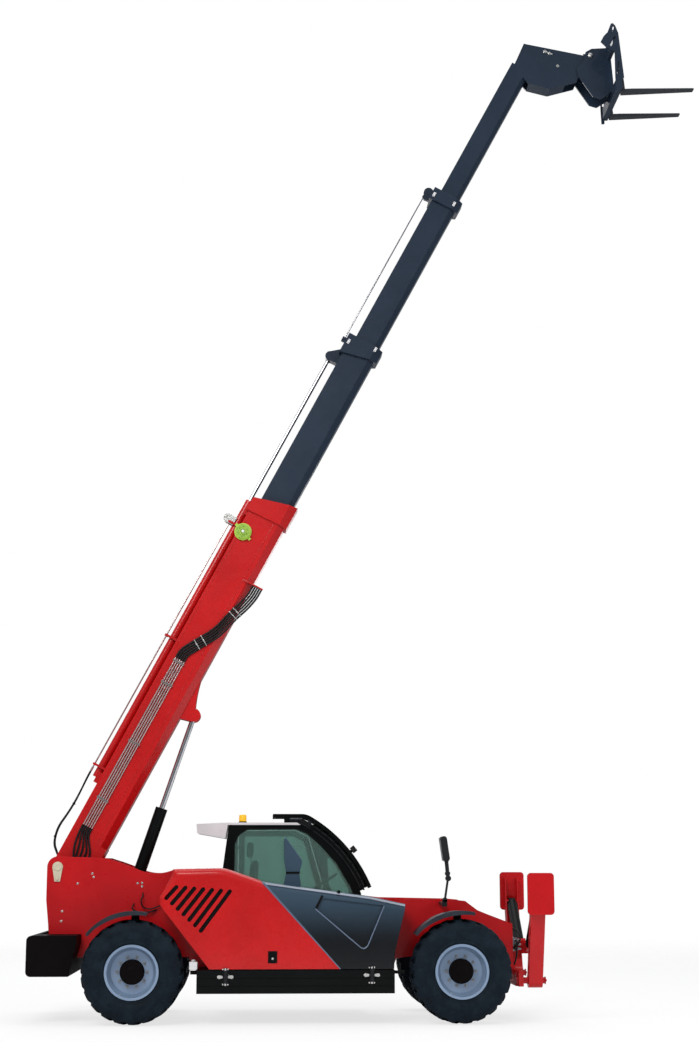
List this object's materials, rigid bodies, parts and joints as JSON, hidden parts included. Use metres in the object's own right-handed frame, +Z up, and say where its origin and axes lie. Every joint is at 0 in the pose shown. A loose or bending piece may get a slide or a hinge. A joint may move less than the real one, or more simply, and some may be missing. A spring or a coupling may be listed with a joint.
{
  "type": "telehandler",
  "caption": "Four-wheel-steer telehandler with its telescopic boom raised, offset cab, side engine hood, swing-down stabilisers and a fork carriage.",
  "frame": {"origin": "on the ground, under the middle of the overall length and width", "axes": "+X towards the forks, +Y to the left, +Z up"},
  "size_m": [8.021, 2.4204, 12.2711],
  "materials": {
    "red_paint": "gloss",
    "slate_paint": "satin",
    "black_paint": "satin",
    "wheel_paint": "satin",
    "tyre_rubber": "matte",
    "chrome": "polished",
    "white_paint": "gloss",
    "tinted_glass": "clear",
    "cast_black": "satin",
    "black_plastic": "matte",
    "seat_fabric": "matte",
    "amber_plastic": "gloss",
    "steel": "satin",
    "hose_rubber": "matte",
    "green_plastic": "gloss"
  },
  "bodies": {
    "chassis": {"chassis_frame": "red_paint", "boom_pivot_pin": "steel", "counterweight": "cast_black", "engine": "cast_black", "side_boxes": "black_paint", "cab_frame": "black_paint", "cab_roof": "white_paint", "cab_glass": "tinted_glass", "cab_guard": "black_paint", "seat": "seat_fabric", "dashboard": "black_plastic", "lamps": "amber_plastic", "mirror": "black_plastic", "axle_front": "black_paint", "axle_rear": "black_paint"},
    "knuckle_front_left": {"knuckle_front_left": "black_paint", "fender_front_left": "black_plastic"},
    "wheel_front_left": {"rim_front_left": "wheel_paint", "tyre_front_left": "tyre_rubber"},
    "knuckle_front_right": {"knuckle_front_right": "black_paint", "fender_front_right": "black_plastic"},
    "wheel_front_right": {"rim_front_right": "wheel_paint", "tyre_front_right": "tyre_rubber"},
    "knuckle_rear_left": {"knuckle_rear_left": "black_paint", "fender_rear_left": "black_plastic"},
    "wheel_rear_left": {"rim_rear_left": "wheel_paint", "tyre_rear_left": "tyre_rubber"},
    "knuckle_rear_right": {"knuckle_rear_right": "black_paint", "fender_rear_right": "black_plastic"},
    "wheel_rear_right": {"rim_rear_right": "wheel_paint", "tyre_rear_right": "tyre_rubber"},
    "boom": {"boom_outer": "red_paint", "telescope_barrel": "red_paint", "boom_pipes": "steel", "boom_hoses": "hose_rubber", "cable_reel": "green_plastic", "hose_rear_left": "hose_rubber", "hose_rear_right": "hose_rubber"},
    "boom_second": {"boom_second": "slate_paint", "telescope_rod": "chrome"},
    "boom_third": {"boom_third": "slate_paint", "upper_rod": "chrome"},
    "boom_fourth": {"boom_fourth": "slate_paint"},
    "carriage": {"fork_carriage": "slate_paint", "forks": "steel"},
    "tilt_barrel": {"tilt_barrel": "black_paint"},
    "tilt_rod": {"tilt_rod": "chrome"},
    "lift_barrel": {"lift_barrel": "black_paint"},
    "lift_rod": {"lift_rod": "chrome"},
    "stabiliser_left": {"stabiliser_left": "red_paint"},
    "stabiliser_right": {"stabiliser_right": "red_paint"},
    "stabiliser_barrel_left": {"stabiliser_barrel_left": "black_paint"},
    "stabiliser_barrel_right": {"stabiliser_barrel_right": "black_paint"},
    "stabiliser_rod_left": {"stabiliser_rod_left": "chrome"},
    "stabiliser_rod_right": {"stabiliser_rod_right": "chrome"},
    "door": {"cab_door": "black_paint", "door_glass": "tinted_glass"},
    "hood": {"hood_rear": "red_paint", "hood_front": "slate_paint", "intake": "slate_paint"}
  },
  "joints": [
    {"name": "steer_front_left", "type": "hinge", "parent": "chassis", "child": "knuckle_front_left", "pos_m": [0.8395, 0.8, 0.57], "axis": [0, 0, 1], "range_deg": [-35, 35]},
    {"name": "spin_front_left", "type": "hinge", "parent": "knuckle_front_left", "child": "wheel_front_left", "pos_m": [0.8395, 0.99, 0.57], "axis": [0, 1, 0], "continuous": true},
    {"name": "steer_front_right", "type": "hinge", "parent": "chassis", "child": "knuckle_front_right", "pos_m": [0.8395, -0.8, 0.57], "axis": [0, 0, 1], "range_deg": [-35, 35]},
    {"name": "spin_front_right", "type": "hinge", "parent": "knuckle_front_right", "child": "wheel_front_right", "pos_m": [0.8395, -0.99, 0.57], "axis": [0, 1, 0], "continuous": true},
    {"name": "steer_rear_left", "type": "hinge", "parent": "chassis", "child": "knuckle_rear_left", "pos_m": [-2.8205, 0.8, 0.57], "axis": [0, 0, 1], "range_deg": [-35, 35]},
    {"name": "spin_rear_left", "type": "hinge", "parent": "knuckle_rear_left", "child": "wheel_rear_left", "pos_m": [-2.8205, 0.99, 0.57], "axis": [0, 1, 0], "continuous": true},
    {"name": "steer_rear_right", "type": "hinge", "parent": "chassis", "child": "knuckle_rear_right", "pos_m": [-2.8205, -0.8, 0.57], "axis": [0, 0, 1], "range_deg": [-35, 35]},
    {"name": "spin_rear_right", "type": "hinge", "parent": "knuckle_rear_right", "child": "wheel_rear_right", "pos_m": [-2.8205, -0.99, 0.57], "axis": [0, 1, 0], "continuous": true},
    {"name": "boom_lift", "type": "hinge", "parent": "chassis", "child": "boom", "pos_m": [-3.7425, 0, 1.713], "axis": [0, -1, 0], "range_deg": [-62, 6]},
    {"name": "telescope_second", "type": "slide", "parent": "boom", "child": "boom_second", "axis": [0.4695, 0, 0.8829], "range_m": [-1.85, 1.5]},
    {"name": "telescope_third", "type": "slide", "parent": "boom_second", "child": "boom_third", "axis": [0.4695, 0, 0.8829], "range_m": [-1.85, 1.5]},
    {"name": "telescope_fourth", "type": "slide", "parent": "boom_third", "child": "boom_fourth", "axis": [0.4695, 0, 0.8829], "range_m": [-1.85, 1.5]},
    {"name": "carriage_tilt", "type": "hinge", "parent": "boom_fourth", "child": "carriage", "pos_m": [2.74497, 0, 11.9971], "axis": [0, 1, 0], "range_deg": [-75, 45]},
    {"name": "tilt_barrel_swing", "type": "hinge", "parent": "boom_fourth", "child": "tilt_barrel", "pos_m": [1.89996, 0, 11.9001], "axis": [0, 1, 0], "range_deg": [-1.69, 2.49]},
    {"name": "tilt_rod_slide", "type": "slide", "parent": "tilt_barrel", "child": "tilt_rod", "axis": [0.997, 0, -0.0774], "range_m": [-0.12, 0.194]},
    {"name": "lift_barrel_swing", "type": "hinge", "parent": "chassis", "child": "lift_barrel", "pos_m": [-3.0495, 0, 1.001], "axis": [0, -1, 0], "range_deg": [-62.35, 6.49]},
    {"name": "lift_rod_slide", "type": "slide", "parent": "lift_barrel", "child": "lift_rod", "axis": [0.3162, 0, 0.9487], "range_m": [-1.069, 0.113]},
    {"name": "stabiliser_left", "type": "hinge", "parent": "chassis", "child": "stabiliser_left", "pos_m": [1.7105, 0.77, 0.45], "axis": [-1, 0, 0], "range_deg": [0, 90]},
    {"name": "stabiliser_barrel_left", "type": "hinge", "parent": "stabiliser_left", "child": "stabiliser_barrel_left", "pos_m": [1.7105, 1.048, 1.29], "axis": [1, 0, 0], "range_deg": [-0.5, 22.88]},
    {"name": "stabiliser_rod_left", "type": "slide", "parent": "stabiliser_barrel_left", "child": "stabiliser_rod_left", "axis": [0, -0.786, -0.6182], "range_m": [-0.01, 0.608]},
    {"name": "stabiliser_right", "type": "hinge", "parent": "chassis", "child": "stabiliser_right", "pos_m": [1.7105, -0.77, 0.45], "axis": [1, 0, 0], "range_deg": [0, 90]},
    {"name": "stabiliser_barrel_right", "type": "hinge", "parent": "stabiliser_right", "child": "stabiliser_barrel_right", "pos_m": [1.7105, -1.048, 1.29], "axis": [-1, 0, 0], "range_deg": [-0.5, 22.88]},
    {"name": "stabiliser_rod_right", "type": "slide", "parent": "stabiliser_barrel_right", "child": "stabiliser_rod_right", "axis": [0, 0.786, -0.6182], "range_m": [-0.01, 0.608]},
    {"name": "cab_door", "type": "hinge", "parent": "chassis", "child": "door", "pos_m": [-1.7125, 1.184, 1.5], "axis": [0, 0, 1], "range_deg": [0, 80]},
    {"name": "hood", "type": "hinge", "parent": "chassis", "child": "hood", "pos_m": [-1.3705, -0.476, 1.52], "axis": [-0.9906, 0, 0.1367], "range_deg": [0, 55]}
  ],
  "couplings": [
    {"joint": "steer_front_right", "follows": "steer_front_left", "ratio": 1},
    {"joint": "steer_rear_right", "follows": "steer_rear_left", "ratio": 1},
    {"joint": "telescope_third", "follows": "telescope_second", "ratio": 1},
    {"joint": "telescope_fourth", "follows": "telescope_second", "ratio": 1},
    {"joint": "tilt_barrel_swing", "follows": "carriage_tilt", "ratio": -0.02648},
    {"joint": "tilt_rod_slide", "follows": "carriage_tilt", "m_per_rad": -0.14061},
    {"joint": "lift_barrel_swing", "follows": "boom_lift", "ratio": 0.99762},
    {"joint": "lift_rod_slide", "follows": "boom_lift", "m_per_rad": 0.97909},
    {"joint": "stabiliser_barrel_left", "follows": "stabiliser_left", "ratio": 0.24862},
    {"joint": "stabiliser_rod_left", "follows": "stabiliser_left", "m_per_rad": 0.38067},
    {"joint": "stabiliser_barrel_right", "follows": "stabiliser_right", "ratio": 0.24862},
    {"joint": "stabiliser_rod_right", "follows": "stabiliser_right", "m_per_rad": 0.38067}
  ]
}
